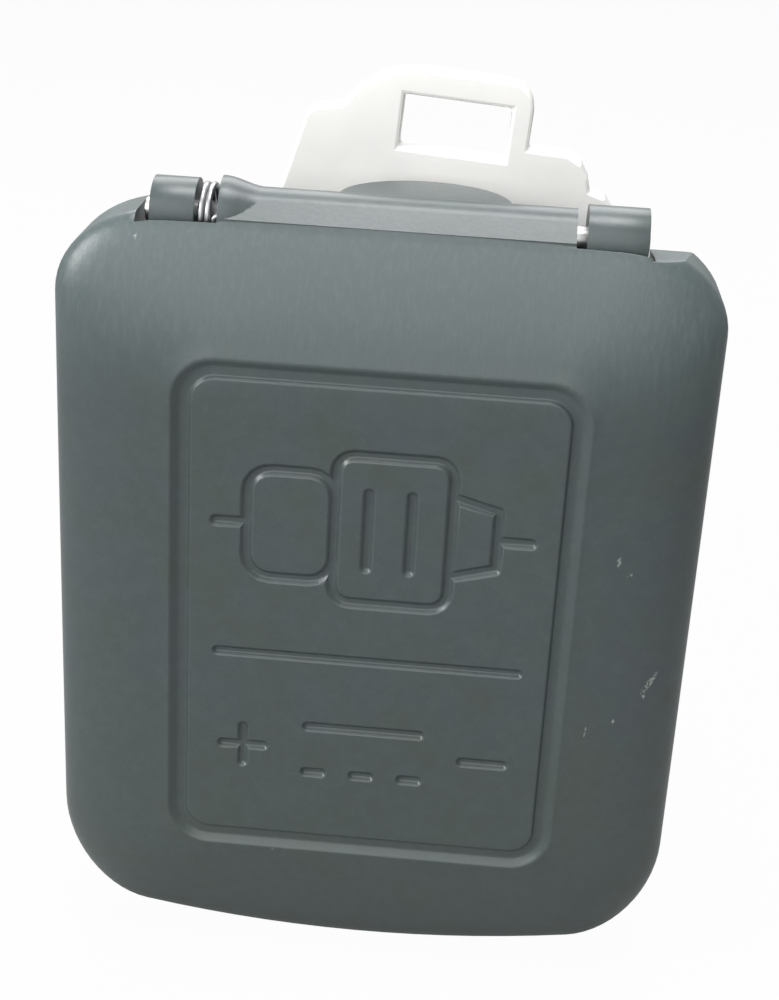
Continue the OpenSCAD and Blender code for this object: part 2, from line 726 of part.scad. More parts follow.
// Blade with two cut corners at its tip
module blade(y0)
    rotate([90, 0, 90]) translate([0, 0, -blade_t / 2]) linear_extrude(blade_t)
        polygon([[y0, -blade_w / 2], [blade_back_y - 1, -blade_w / 2], [blade_back_y, 1 - blade_w / 2],
            [blade_back_y, blade_w / 2 - 1], [blade_back_y - 1, blade_w / 2], [y0, blade_w / 2]]);

module positive_terminal() color(brass) {
    difference() {
        union() {
            translate([-blade_x - blade_t / 2, washer_back, -blade_w / 2])
                cube([blade_x + blade_t / 2, blade_t, blade_w]);
            rod_y(washer_back, blade_t, blade_w / 2);
        }
        rod_y(washer_back - over, blade_t + 2 * over, stud_r + seat_play);
    }
    translate([-blade_x, 0, 0]) blade(washer_back);
}

module ground_terminal() color(brass) {
    difference() {
        translate([blade_x - blade_t / 2, base_back, -blade_w / 2])
            cube([tab_reach - blade_x + blade_t / 2, blade_t, blade_w]);
        translate([rivet_x, 0, 0]) rod_y(base_back - over, blade_t + 2 * over, rivet_r + seat_play);
    }
    translate([blade_x, 0, 0]) blade(base_back);
}

module ground_rivet() color(steel)
    translate([rivet_x, 0, 0]) {
        rod_y(bore_l - 0.5, 0.5, rivet_r + 0.5);
        rod_y(bore_l - 0.1, shell_t + blade_t + 0.2, rivet_r);
        rod_y(base_back + blade_t, 0.5, rivet_r + 0.5);
    }

module connector_housing() color(white) {
    difference() {
        union() {
            rod_y(case_l, base_t, barrel_r);
            ring_y(base_back + seat_play, case_l - base_back, spigot_r, spigot_in);
            for (side = [0, 180])
                rotate([0, side, 0])
                    translate([0.3 - clip_window_w / 2, clip_window_y + 0.2, spigot_in + 0.4])
                        cube([clip_window_w - 0.6, clip_window_l - 0.4, barrel_r - spigot_in - 0.8]);
        }
        for (side = [-1, 1])
            translate([side * blade_x - blade_t / 2 - seat_play, case_l - over, -blade_w / 2 - seat_play])
                cube([blade_t + 2 * seat_play, base_t + 2 * over, blade_w + 2 * seat_play]);
    }
    plate(shroud_y, shroud_l)
        difference() {
            rounded_rect(shroud_w, shroud_h, 1.8);
            rounded_rect(shroud_w - 2 * shroud_wall, shroud_h - 2 * shroud_wall, 0.8);
        }
    bar_x(-latch_w / 2, latch_w / 2) latch_profile();
    for (side = [-1, 1])
        translate([side * key_x - key_w / 2, shroud_y, shroud_h / 2 - 0.3])
            cube([key_w, shroud_l - 2, key_rise + 0.3]);
}

// Ramp of the latch: a steep front for the plug's catch and a long slope behind it
latch_w = 6;
latch_y = shroud_y + 3;
key_x = 5;
key_w = 1.2;
key_rise = 0.7;
module latch_profile()
    polygon([[latch_y, shroud_h / 2 - 0.3], [latch_y, shroud_h / 2 + latch_rise],
        [latch_y + 1.2, shroud_h / 2 + latch_rise], [latch_y + 5, shroud_h / 2],
        [latch_y + 5, shroud_h / 2 - 0.3]]);

lid();
lid_bumpers();
case();
hinge_pin();
lid_spring();
flange_gasket();
retainer();
socket_shell();
inner_insulator();
centre_contact();
contact_stud();
outer_insulator();
spring_washer();
contact_nut();
positive_terminal();
ground_terminal();
ground_rivet();
connector_housing();
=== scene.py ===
import json
import math

import bmesh
import bpy
from mathutils import Matrix, Vector


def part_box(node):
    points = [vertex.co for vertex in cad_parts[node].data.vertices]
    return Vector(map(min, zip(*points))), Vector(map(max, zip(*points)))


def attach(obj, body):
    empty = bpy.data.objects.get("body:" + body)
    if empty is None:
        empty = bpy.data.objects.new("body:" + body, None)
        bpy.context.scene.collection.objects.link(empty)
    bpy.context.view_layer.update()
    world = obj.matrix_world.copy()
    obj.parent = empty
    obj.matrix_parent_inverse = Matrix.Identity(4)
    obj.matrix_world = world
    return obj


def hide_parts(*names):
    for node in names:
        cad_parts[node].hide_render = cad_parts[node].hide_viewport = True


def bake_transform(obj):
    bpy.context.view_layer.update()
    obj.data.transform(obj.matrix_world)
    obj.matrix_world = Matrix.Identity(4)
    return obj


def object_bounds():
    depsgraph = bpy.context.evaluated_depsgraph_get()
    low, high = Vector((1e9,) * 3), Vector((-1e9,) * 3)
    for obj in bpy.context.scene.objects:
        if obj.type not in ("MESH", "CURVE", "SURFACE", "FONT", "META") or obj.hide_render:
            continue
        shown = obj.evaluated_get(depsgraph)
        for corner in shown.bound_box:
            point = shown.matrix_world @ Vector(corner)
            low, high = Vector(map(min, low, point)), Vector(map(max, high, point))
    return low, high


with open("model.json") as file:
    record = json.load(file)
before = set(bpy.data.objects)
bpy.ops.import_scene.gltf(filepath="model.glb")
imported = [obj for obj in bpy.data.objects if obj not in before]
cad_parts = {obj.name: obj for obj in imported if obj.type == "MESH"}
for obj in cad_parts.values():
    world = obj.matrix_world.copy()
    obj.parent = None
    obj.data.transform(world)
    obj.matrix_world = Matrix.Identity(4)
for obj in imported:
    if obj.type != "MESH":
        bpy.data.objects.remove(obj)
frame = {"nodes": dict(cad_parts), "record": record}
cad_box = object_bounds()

MM = 0.001
nodes = frame["nodes"]

# The photograph's viewpoint
CAMERA_AT = (6.4, -108.0, 52.4)
CAMERA_PITCH = math.radians(23.0)
CAMERA_YAW = math.radians(-3.05)
CAMERA_ROLL = math.radians(3.26)
CAMERA_LENS = 63.1


def make_camera():
    data = bpy.data.cameras.new("camera")
    data.lens = CAMERA_LENS
    data.clip_start = 0.005
    camera = bpy.data.objects.new("camera", data)
    bpy.context.scene.collection.objects.link(camera)
    bpy.context.scene.camera = camera
    pitch, yaw, roll = CAMERA_PITCH, CAMERA_YAW, CAMERA_ROLL
    ahead = Vector((math.sin(yaw) * math.cos(pitch), math.cos(yaw) * math.cos(pitch), -math.sin(pitch)))
    right = Vector((math.cos(yaw), -math.sin(yaw), 0.0))
    up = right.cross(ahead)
    tilted_right = math.cos(roll) * right + math.sin(roll) * up
    tilted_up = math.cos(roll) * up - math.sin(roll) * right
    turn = Matrix((tilted_right, tilted_up, -ahead)).transposed()
    camera.matrix_world = Matrix.Translation(Vector(CAMERA_AT) * MM) @ turn.to_4x4()


make_camera()


# Shader maths: sums on a node's output add their own Math nodes
class Link:
    def __init__(self, tree, socket):
        self.tree = tree
        self.socket = socket

    def math(self, operation, *others):
        return self.tree.node("ShaderNodeMath", {"operation": operation}, dict(enumerate((self, *others))))

    def __add__(self, other):
        return self.math("ADD", other)

    def __mul__(self, other):
        return self.math("MULTIPLY", other)

    def __sub__(self, other):
        return self.math("SUBTRACT", other)

    def __rsub__(self, other):
        return self.tree.node("ShaderNodeMath", {"operation": "SUBTRACT"}, {0: other, 1: self})

    __radd__ = __add__
    __rmul__ = __mul__

    def clamp(self):
        return self.math("MINIMUM", 1.0).math("MAXIMUM", 0.0)

    def step(self, low, high):
        """0 at low, 1 at high and smooth between them, whichever of the two is the greater"""
        settings = {"interpolation_type": "SMOOTHSTEP"}
        inputs = {"Value": self, "From Min": low, "From Max": high}
        return self.tree.node("ShaderNodeMapRange", settings, inputs)


class Nodes:
    """A node tree that is filled through one method"""

    def __init__(self, owner):
        owner.use_nodes = True
        self.nodes = owner.node_tree.nodes
        self.links = owner.node_tree.links
        self.nodes.clear()

    def node(self, kind, settings=None, inputs=None, output=0):
        """A node with its settings, and values or links for its inputs by name or number"""
        made = self.nodes.new(kind)
        for key, value in (settings or {}).items():
            setattr(made, key, value)
        for key, value in (inputs or {}).items():
            if isinstance(value, Link):
                self.links.new(value.socket, made.inputs[key])
            else:
                made.inputs[key].default_value = value
        return Link(self, made.outputs[output]) if made.outputs else None

    def mix(self, factor, first, second):
        """A colour between two colours, each a link or three numbers"""
        colours = [c if isinstance(c, Link) else (*c, 1.0) for c in (first, second)]
        inputs = {0: factor, 6: colours[0], 7: colours[1]}
        return self.node("ShaderNodeMix", {"data_type": "RGBA"}, inputs, output=2)

    def place(self):
        return self.node("ShaderNodeTexCoord", output="Object")

    def axis(self, index):
        """Where a point lies along X, Y or Z, in millimetres"""
        return self.node("ShaderNodeSeparateXYZ", inputs={0: self.place()}, output=index) * (1 / MM)

    def facing(self, index):
        """How far the surface faces along X, Y or Z"""
        normal = self.node("ShaderNodeNewGeometry", output="Normal")
        return self.node("ShaderNodeSeparateXYZ", inputs={0: normal}, output=index)

    def noise(self, size, detail=2.0, rough=0.5, squeeze=(1.0, 1.0, 1.0)):
        """Noise from 0 to 1 in lumps of about size millimetres, longer along an axis squeezed under 1"""
        place = self.node("ShaderNodeMapping", inputs={"Vector": self.place(), "Scale": squeeze})
        inputs = {"Vector": place, "Scale": 1 / (size * MM), "Detail": detail, "Roughness": rough}
        return self.node("ShaderNodeTexNoise", inputs=inputs)

    def cells(self, size):
        inputs = {"Vector": self.place(), "Scale": 1 / (size * MM)}
        return self.node("ShaderNodeTexVoronoi", inputs=inputs, output="Distance")

    def mark(self, x, z, length, width, lean):
        """1 in the middle of a long mark on the front, which leans from upright, and 0 outside it"""
        turn = math.radians(lean)
        dx, dz = self.axis(0) - x, self.axis(2) - z
        along = (dx * math.sin(turn) + dz * math.cos(turn)) * (2 / length)
        across = (dx * math.cos(turn) - dz * math.sin(turn)) * (2 / width)
        return (along * along + across * across).step(1.0, 0.2)

    def bump(self, height, depth):
        """Relief whose height from 0 to 1 is depth millimetres"""
        return self.node("ShaderNodeBump", inputs={"Height": height, "Distance": depth * MM, "Strength": 1.0})


def finish(name, build, **constants):
    """A material: build gives what varies over the surface, and constants are set on the shader itself"""
    material = bpy.data.materials.new(name)
    tree = Nodes(material)
    inputs = {key.replace("_", " "): value for key, value in constants.items()}
    inputs.update(build(tree))
    shader = tree.node("ShaderNodeBsdfPrincipled", inputs=inputs)
    tree.node("ShaderNodeOutputMaterial", inputs={"Surface": shader})
    return material


def shade(colour, amount):
    return tuple(min(1.0, part * amount) for part in colour)


SLATE = (0.050, 0.065, 0.066)
SLATE_GREEN = (0.049, 0.064, 0.058)
SLATE_BLUE = (0.052, 0.065, 0.072)
CASE_GREY = (0.050, 0.065, 0.066)
NYLON = (0.87, 0.865, 0.84)
CONNECTOR = (0.80, 0.79, 0.74)
NICKEL = (0.66, 0.665, 0.66)
STEEL = (0.62, 0.62, 0.61)
# Steel darker than the pin's, for the lid spring and the spring washer
DARK_STEEL = (0.36, 0.37, 0.38)
BRASS = (0.72, 0.55, 0.27)
TIN = (0.62, 0.58, 0.48)
BOARD = (0.15, 0.08, 0.042)
RUBBER = (0.022, 0.023, 0.025)
FOAM = (0.028, 0.029, 0.031)

# Marks on the lid's front: x, z, length, width in millimetres and lean from upright in degrees
SCRATCHES = [(18.9, -3.4, 1.9, 0.45, 28), (18.5, -4.3, 1.0, 0.35, -20), (15.9, 5.4, 0.8, 0.35, 10),
    (16.7, 4.5, 0.5, 0.3, 40), (16.7, -6.4, 0.5, 0.25, 0), (14.9, -7.2, 1.0, 0.16, 5),
    (-5.9, -18.7, 0.35, 0.3, 0), (-15.9, 24.2, 0.5, 0.3, 5)]
WORN = (0.36, 0.39, 0.36)

# Heights between which the flow streaks and the painted top light set in, and end again under the hinge leaf
STREAKS_AND_PAINTED_LIGHT_START = (13, 21)
STREAKS_AND_PAINTED_LIGHT_END = (25.6, 24.8)
# Heights between which a painted warm tint of bounce light grows towards the lid's foot
PAINTED_BOUNCE_TINT_FOOT = (-2, -20)


def moulded(tree, colour, roughness, cool, warm, scratches=()):
    """Satin moulded plastic: fine spark grain, cloudy gloss, upright flow streaks, a few rubbed marks,
    painted top light over the upper front and a painted warm tint of bounce light towards the foot
    """
    cloud = tree.noise(9, 3.0, 0.55)
    drift = tree.noise(4, 2.0, 0.5)
    grain = tree.noise(0.3, 3.0, 0.6)
    mottle = tree.noise(0.9, 2.0, 0.6)
    streak = tree.noise(0.28, 2.0, 0.6, squeeze=(1.0, 1.0, 0.16))
    streaks_and_painted_light_zone = tree.axis(2).step(*STREAKS_AND_PAINTED_LIGHT_START) * tree.axis(2).step(*STREAKS_AND_PAINTED_LIGHT_END)
    tone = tree.mix(drift.step(0.35, 0.65), warm, cool)
    tone = tree.mix(cloud.step(0.3, 0.7), tone, colour)
    # Painted bounce light: the tone turns towards the warmer colour near the lid's foot
    tone = tree.mix(tree.axis(2).step(*PAINTED_BOUNCE_TINT_FOOT) * 0.6, tone, warm)
    tone = tree.mix(mottle.step(0.35, 0.7) * 0.25, tone, shade(colour, 1.35))
    # Painted top light: the whole upper front is lightened most of the way to a paler tone, and the plastic's
    # own flow streaks are paler still
    tone = tree.mix((streak.step(0.4, 0.75) * 0.35 + 0.65) * streaks_and_painted_light_zone, tone, shade(colour, 1.7))
    tone = tree.mix(grain.step(0.45, 0.8) * 0.25, tone, shade(colour, 1.5))
    gloss = (cloud - 0.5) * 0.1 + (mottle + grain - 1) * 0.08 + (streak - 0.5) * streaks_and_painted_light_zone * 0.2 + roughness
    if scratches:
        ragged = tree.noise(0.2, 2.0, 0.6).step(0.42, 0.58)
        worn = tree.mark(*scratches[0])
        for values in scratches[1:]:
            worn = worn.math("MAXIMUM", tree.mark(*values))
        worn = worn * ragged * tree.facing(1).step(-0.3, -0.6)
        tone = tree.mix(worn * 0.7, tone, WORN)
        gloss = gloss + worn * 0.15
    relief = tree.bump(grain * 0.7 + streak * streaks_and_painted_light_zone, 0.012)
    return {"Base Color": tone, "Roughness": gloss.clamp(), "Normal": relief}


def nylon(tree, colour):
    cloud = tree.noise(6, 3.0, 0.5)
    fine = tree.noise(0.25)
    tone = tree.mix(cloud.step(0.3, 0.75), shade(colour, 0.97), shade(colour, 1.03))
    return {"Base Color": tone, "Roughness": cloud * 0.14 + 0.36, "Normal": tree.bump(fine, 0.006)}


def metal(tree, colour, roughness, squeeze=(1.0, 1.0, 1.0)):
    """Drawn or turned metal with fine lines along the squeezed axis and a cloudy polish"""
    lines = tree.noise(0.12, 3.0, 0.6, squeeze)
    cloud = tree.noise(5, 3.0, 0.6)
    tone = tree.mix(cloud.step(0.35, 0.8), colour, shade(colour, 0.82))
    gloss = cloud * 0.16 + lines * 0.06 + (roughness - 0.08)
    return {"Base Color": tone, "Roughness": gloss, "Normal": tree.bump(lines, 0.004)}


def pressed_board(tree, colour):
    """Phenolic board with a faint cloth weave"""
    weave = tree.noise(0.3, 1.0, 0.4, (1.0, 1.0, 0.3)) + tree.noise(0.3, 1.0, 0.4, (0.3, 1.0, 1.0))
    tone = tree.mix(weave.step(0.8, 1.2), shade(colour, 0.8), shade(colour, 1.25))
    return {"Base Color": tone, "Roughness": weave * 0.12 + 0.4, "Normal": tree.bump(weave, 0.01)}


def foam(tree, colour, size):
    cells = tree.cells(size)
    fine = tree.noise(size * 2, 3.0, 0.6)
    tone = tree.mix(cells.step(0.1, 0.6), shade(colour, 0.6), shade(colour, 1.6))
    relief = tree.bump(cells * 0.6 + fine * 0.6, size * 0.14)
    return {"Base Color": tone, "Roughness": fine * 0.1 + 0.85, "Normal": relief}


def plated(name, colour, roughness, squeeze=(1.0, 1.0, 1.0)):
    return finish(name, lambda tree: metal(tree, colour, roughness, squeeze), Metallic=1.0)


ALONG_X = (0.06, 1.0, 1.0)
ALONG_Y = (1.0, 0.08, 1.0)
LID = finish("lid_plastic", lambda tree: moulded(tree, SLATE, 0.36, SLATE_BLUE, SLATE_GREEN, SCRATCHES))
CASE = finish("case_plastic", lambda tree: moulded(tree, CASE_GREY, 0.36, SLATE_BLUE, SLATE_GREEN))
TRANSLUCENT = {"Subsurface_Weight": 0.15, "Subsurface_Scale": 0.0015, "Subsurface_Radius": (1.0, 0.9, 0.8)}
WHITE = finish("white_nylon", lambda tree: nylon(tree, NYLON), **TRANSLUCENT)
HOUSING = finish("connector_nylon", lambda tree: nylon(tree, CONNECTOR), **TRANSLUCENT)
SHELL = plated("plated_steel", NICKEL, 0.24, ALONG_Y)
PIN = plated("pin_steel", STEEL, 0.34, ALONG_X)
SPRING = plated("spring_steel", DARK_STEEL, 0.3)
CONTACT = plated("contact_brass", BRASS, 0.3)
BLADE = plated("terminal_brass", TIN, 0.34, ALONG_Y)
INSULATOR = finish("insulator_board", lambda tree: pressed_board(tree, BOARD))
BUMPER = finish("bumper_rubber", lambda tree: foam(tree, RUBBER, 0.08))
GASKET = finish("gasket_foam", lambda tree: foam(tree, FOAM, 0.35))

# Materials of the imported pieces
FINISH = {
    "lid": LID, "lid_bumpers": BUMPER, "case": CASE, "hinge_pin": PIN, "lid_spring": SPRING,
    "flange_gasket": GASKET, "retainer": WHITE, "socket_shell": SHELL, "inner_insulator": INSULATOR,
    "centre_contact": CONTACT, "contact_stud": SHELL, "outer_insulator": INSULATOR,
    "spring_washer": SPRING, "contact_nut": CONTACT, "positive_terminal": BLADE,
    "ground_terminal": BLADE, "ground_rivet": SHELL, "connector_housing": HOUSING,
}
for name, material in FINISH.items():
    nodes[name].data.materials.clear()
    nodes[name].data.materials.append(material)

# Width of the round on the edges of moulded and stamped pieces
SOFT_EDGES = {"case": 0.25, "retainer": 0.22, "connector_housing": 0.2, "flange_gasket": 0.25,
    "socket_shell": 0.12, "positive_terminal": 0.08, "ground_terminal": 0.08, "contact_nut": 0.12,
    "lid_bumpers": 0.2, "hinge_pin": 0.12}


def round_edges(piece, width, angle):
    edge = piece.modifiers.new("edge", "BEVEL")
    edge.width = width * MM
    edge.segments = 2
    edge.limit_method = "ANGLE"
    edge.angle_limit = math.radians(angle)


for name, width in SOFT_EDGES.items():
    weld = nodes[name].modifiers.new("weld", "WELD")
    weld.merge_threshold = 0.002 * MM
    flat = nodes[name].modifiers.new("flat", "DECIMATE")
    flat.decimate_type = "DISSOLVE"
    flat.angle_limit = math.radians(1.0)
    round_edges(nodes[name], width, 40)


# Mesh tools: rings are lists of points in millimetres
def closed_mesh(bm, name):
    """Mesh of a closed skin, whose faces all look outwards"""
    bmesh.ops.recalc_face_normals(bm, faces=bm.faces)
    mesh = bpy.data.meshes.new(name)
    bm.to_mesh(mesh)
    bm.free()
    return mesh


def ring_at(outline, y):
    return [(x, y, z) for x, z in outline]


def loft(name, rings):
    """Closed skin through a row of rings that have the same count of points"""
    bm = bmesh.new()
    rows = [[bm.verts.new(Vector(p) * MM) for p in ring] for ring in rings]
    for row, after in zip(rows, rows[1:]):
        for i in range(len(row)):
            j = (i + 1) % len(row)
            bm.faces.new((row[i], after[i], after[j], row[j]))
    bm.faces.new(rows[0])
    bm.faces.new(rows[-1][::-1])
    return closed_mesh(bm, name)


def circle(cx, cy, r, steps=64):
    turns = [2 * math.pi * i / steps for i in range(steps)]
    return [(cx + r * math.cos(a), cy + r * math.sin(a)) for a in turns]


def bar_x(x0, x1, profile):
    """Bar along X with a profile in y and z"""
    return loft("bar", [[(x, y, z) for y, z in profile] for x in (x0, x1)])


def block(low, high):
    corners = [(low[0], low[2]), (high[0], low[2]), (high[0], high[2]), (low[0], high[2])]
    return loft("block", [ring_at(corners, high[1]), ring_at(corners, low[1])])


def piece(name, mesh, material, body):
    made = bpy.data.objects.new(name, mesh)
    bpy.context.scene.collection.objects.link(made)
    mesh.materials.clear()
    mesh.materials.append(material)
    if body:
        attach(made, body)
    return made


def settle(target):
    """Turns a piece's modifiers into its mesh"""
    evaluated = target.evaluated_get(bpy.context.evaluated_depsgraph_get())
    result = bpy.data.meshes.new_from_object(evaluated)
    target.modifiers.clear()
    target.data = result


def boolean(target, mesh, operation, crossing=False):
    """Joins a mesh to the target or cuts it away; crossing is for a mesh whose parts cross each other"""
    other = bpy.data.objects.new("tool", mesh)
    bpy.context.scene.collection.objects.link(other)
    step = target.modifiers.new("step", "BOOLEAN")
    step.operation = operation
    step.solver = "EXACT"
    step.use_self = crossing
    step.object = other
    settle(target)
    bpy.data.objects.remove(other)


def joined(meshes):
    bm = bmesh.new()
    for mesh in meshes:
        bm.from_mesh(mesh)
    result = bpy.data.meshes.new("joined")
    bm.to_mesh(result)
    bm.free()
    return result


def smooth(target, angle):
    target.data.polygons.foreach_set("use_smooth", [True] * len(target.data.polygons))
    target.data.set_sharp_from_angle(angle=math.radians(angle))


# Lid: sizes of the moulding, round the hinge and the front that the frame gives
lid_low, lid_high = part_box("lid")
LID_HALF = lid_high.x / MM
LID_FRONT = lid_low.y / MM
LID_DEPTH = 7.5
LID_BACK = LID_FRONT + LID_DEPTH
LID_TOP = 25.5
LID_BOTTOM = -24.5
CUT_TOP = LID_TOP + 5
TOP_CORNER = (6.8, 5.4)
BOTTOM_CORNER = (5.8, 7.2)
TOP_BOW = 0.4
BOTTOM_BOW = 2.5
LID_DROP = 3.4
LID_WALL = 1.8
LID_SKIN = 2.4
LID_INNER = LID_FRONT + LID_SKIN
CROWN_POWER = 2.6
SIDE_SLOPE = 0.15
TOP_SLOPE = 0.45
BOTTOM_SLOPE = 0.3
CORNER_STEPS = 14
EDGE_STEPS = 14
CROWN_STEPS = 26

PANEL_HALF = 13.25
PANEL_TOP = 17.1
PANEL_BOTTOM = -18.4
PANEL_CORNER = 2.8
PANEL_DEPTH = 0.15
PANEL_FLOOR = LID_FRONT + PANEL_DEPTH
FIELD_MARGIN = 0.35
FIELD_DEPTH = 0.05
# The moat round the panel's middle: distance in from the panel's edge, and depth under the lid's front
MOAT = [(-0.2, 0.0), (-0.08, 0.0), (0.0, 0.03), (0.08, 0.1), (0.2, 0.19), (0.38, 0.34), (0.48, 0.385),
    (0.6, 0.4), (0.98, 0.4), (1.07, 0.385), (1.12, 0.35), (1.22, 0.2), (1.27, 0.165), (1.36, 0.15),
    (1.8, 0.15)]

hinge = [part / MM for part in frame["record"]["behaviour"]["joints"][0]["pos_m"]]
HINGE_Y, HINGE_Z = hinge[1], hinge[2]
LEFT_EAR = (-15.2, -12.4)
RIGHT_EAR = (12.0, 15.8)
KNUCKLE = (-10.9, 11.35)
POCKET = (-16.05, 16.25)
KNUCKLE_R = 1.9
POCKET_R = 2.5
PIN_HOLE_R = 0.85
STEP_RIGHT = 19.1
STEP_FRONT = (-1.6, 24.75)
STEP_BACK = (2.6, 24.2)
LEAF_START = (-2.5, 25.5)
SWELL_R = 2.45
SWELL_L = 2.8
SWELL_BACK = 1.3
TONGUE_X = 1.8
TONGUE_R = 5.6
TONGUE_T = 1.2
TONGUE_TOP = HINGE_Z + KNUCKLE_R - 0.05
TONGUE_BACK = HINGE_Y + 0.1
TONGUE_SHORT = 0.37
# The catch's nib inside the lid's lower wall
NIB_HALF = 3
NIB_T = 1
NIB_TOP = -23.4
NIB_SUNK = 0.9
# The hole in the knuckle that takes the spring's tang
TANG_HOLE_R = 0.33
TANG_HOLE_END = -9.84
DUST_RING = (15.0, 13.8)
DUST_RING_BACK = -0.4
RIB_L = 5.0
RIB_T = 0.9
RIB_H = 1.2


def arc(cx, cz, size, start):
    turns = [math.radians(start + 90 * i / CORNER_STEPS) for i in range(CORNER_STEPS + 1)]
    return [(cx + size[0] * math.cos(a), cz + size[1] * math.sin(a)) for a in turns]


def between(p, q):
    parts = [i / EDGE_STEPS for i in range(1, EDGE_STEPS)]
    return [(p[0] + (q[0] - p[0]) * t, p[1] + (q[1] - p[1]) * t) for t in parts]


def outline(half, low, high, streaks_and_painted_light_zone, lower):
    """Rectangle with curved corners, counter-clockwise from its right side"""
    points = arc(half - streaks_and_painted_light_zone[0], high - streaks_and_painted_light_zone[1], streaks_and_painted_light_zone, 0)
    points += between((half - streaks_and_painted_light_zone[0], high), (streaks_and_painted_light_zone[0] - half, high))
    points += arc(streaks_and_painted_light_zone[0] - half, high - streaks_and_painted_light_zone[1], streaks_and_painted_light_zone, 90)
    points += between((-half, high - streaks_and_painted_light_zone[1]), (-half, low + lower[1]))
    points += arc(lower[0] - half, low + lower[1], lower, 180)
    points += between((lower[0] - half, low), (half - lower[0], low))
    points += arc(half - lower[0], low + lower[1], lower, 270)
    return points + between((half, low + lower[1]), (half, high - streaks_and_painted_light_zone[1]))


def lid_outline(inset):
    corners = [(w - inset, h - inset) for w, h in (TOP_CORNER, BOTTOM_CORNER)]
    bowed = []
    for x, z in outline(LID_HALF - inset, LID_BOTTOM + inset, LID_TOP - inset, *corners):
        bow = 1 - (x / LID_HALF) ** 2
        bowed.append((x, z + bow * (TOP_BOW * z / LID_TOP if z > 0 else -BOTTOM_BOW * z / LID_BOTTOM)))
    return bowed


def panel_outline(inset):
    corner = (PANEL_CORNER - inset, PANEL_CORNER - inset)
    return outline(PANEL_HALF - inset, PANEL_BOTTOM + inset, PANEL_TOP - inset, corner, corner)


def crown_ring(u):
    """Ring of the front, which slopes and then curves back: 0 is round the panel and 1 is the rim"""
    ring = []
    for rim, field in zip(lid_outline(0.0), panel_outline(-FIELD_MARGIN)):
        end_slope = TOP_SLOPE if rim[1] > 0 else BOTTOM_SLOPE
        slope = SIDE_SLOPE + (end_slope - SIDE_SLOPE) * abs(rim[1] / LID_TOP) ** 3
        curve = 1 - max(0.0, 1 - min(1.0, u) ** CROWN_POWER) ** (1 / CROWN_POWER)
        drop = slope * u + (1 - slope) * curve
        depth = FIELD_DEPTH + (LID_DROP - FIELD_DEPTH) * drop
        x = field[0] + (rim[0] - field[0]) * u
        z = field[1] + (rim[1] - field[1]) * u
        ring.append((x, LID_FRONT + depth, z))
    return ring


def inner_fillet(radius, steps):
    """Rings round the corner between the skirt's inner wall and the inside of the front"""
    rings = []
    for i in range(steps + 1):
        a = math.pi / 2 * i / steps
        inset = LID_WALL + radius * (1 - math.sin(a))
        rings.append(ring_at(lid_outline(inset), LID_INNER + radius * (1 - math.cos(a))))
    return rings


def lid_skin():
    """From the inside of the front, round the skirt and over the crown to the panel's middle"""
    rings = [ring_at(lid_outline(LID_WALL + 1.2), LID_INNER)]
    rings += inner_fillet(0.5, 4)
    rings += [ring_at(lid_outline(inset), LID_BACK - behind)
        for inset, behind in ((LID_WALL, 0.3), (LID_WALL - 0.1, 0.08), (LID_WALL - 0.3, 0.0),
            (0.3, 0.0), (0.1, 0.08), (0.0, 0.3))]
    rings += [crown_ring(abs(math.cos(math.pi / 2 * i / CROWN_STEPS)) ** (2 / CROWN_POWER))
        for i in range(CROWN_STEPS + 1)]
    rings += [ring_at(panel_outline(inset), LID_FRONT + depth) for inset, depth in MOAT]
    return loft("lid_cover", rings)


def hinge_bar(x0, x1, r, dy=0.0, dz=0.0, steps=64):
    return bar_x(x0, x1, circle(HINGE_Y + dy, HINGE_Z + dz, r, steps))


def leaf_tangent():
    """Angle round the knuckle at which the leaf's front meets it"""
    dy, dz = LEAF_START[0] - HINGE_Y, LEAF_START[1] - HINGE_Z
    return math.atan2(dz, dy) % (2 * math.pi) - math.acos(KNUCKLE_R / math.hypot(dy, dz))


def knuckle_point(a):
    return (HINGE_Y + KNUCKLE_R * math.cos(a), HINGE_Z + KNUCKLE_R * math.sin(a))


def leaf():
    """Knuckle with the leaf that carries the crown's slope up to it"""
    steps = 48
    first, last = -math.pi / 2, leaf_tangent()
    profile = [LEAF_START, (LEAF_START[0], HINGE_Z - KNUCKLE_R)]
    profile += [knuckle_point(first + (last - first) * i / steps) for i in range(steps + 1)]
    return bar_x(*KNUCKLE, profile)


def leaf_trim():
    """What the crown loses over the leaf's front, so that the two meet in one straight line"""
    end = knuckle_point(leaf_tangent())
    return bar_x(*KNUCKLE, [LEAF_START, end, (end[0], CUT_TOP), (LEAF_START[0], CUT_TOP)])


def swell():
    """Swollen end of the knuckle beside the spring, clear of the flange behind"""
    rings = []
    steps = 10
    behind = math.asin(SWELL_BACK / SWELL_R)
    for i in range(steps + 1):
        t = i / steps
        r = KNUCKLE_R - 0.02 + (SWELL_R - KNUCKLE_R + 0.02) * (1 + math.cos(math.pi * t)) / 2
        turns = [math.pi / 2 - behind * 0.9 + (math.pi / 2 + behind * 0.9) * k / 32 for k in range(33)]
        x = KNUCKLE[0] + SWELL_L * t
        ring = [(x, HINGE_Y + r * math.cos(a), HINGE_Z + r * math.sin(a)) for a in turns]
        rings.append(ring + [(x, HINGE_Y, HINGE_Z)])
    return loft("swell", rings)


def tongue():
    """Half a disc with a rounded edge, which runs into the knuckle"""
    edge = 0.35
    middle = TONGUE_TOP - TONGUE_T / 2
    rings = []
    for side in (-1, 1):
        for i in range(5):
            a = math.pi / 2 * (i / 4 if side > 0 else 1 - i / 4)
            r = TONGUE_R - edge + edge * math.cos(a)
            z = middle + side * (TONGUE_T / 2 - edge + edge * math.sin(a))
            turns = [math.pi * k / 48 for k in range(49)]
            deep = r - TONGUE_SHORT
            rings.append([(TONGUE_X + r * math.cos(t), TONGUE_BACK + deep * math.sin(t), z) for t in turns])
    return loft("tongue", rings)


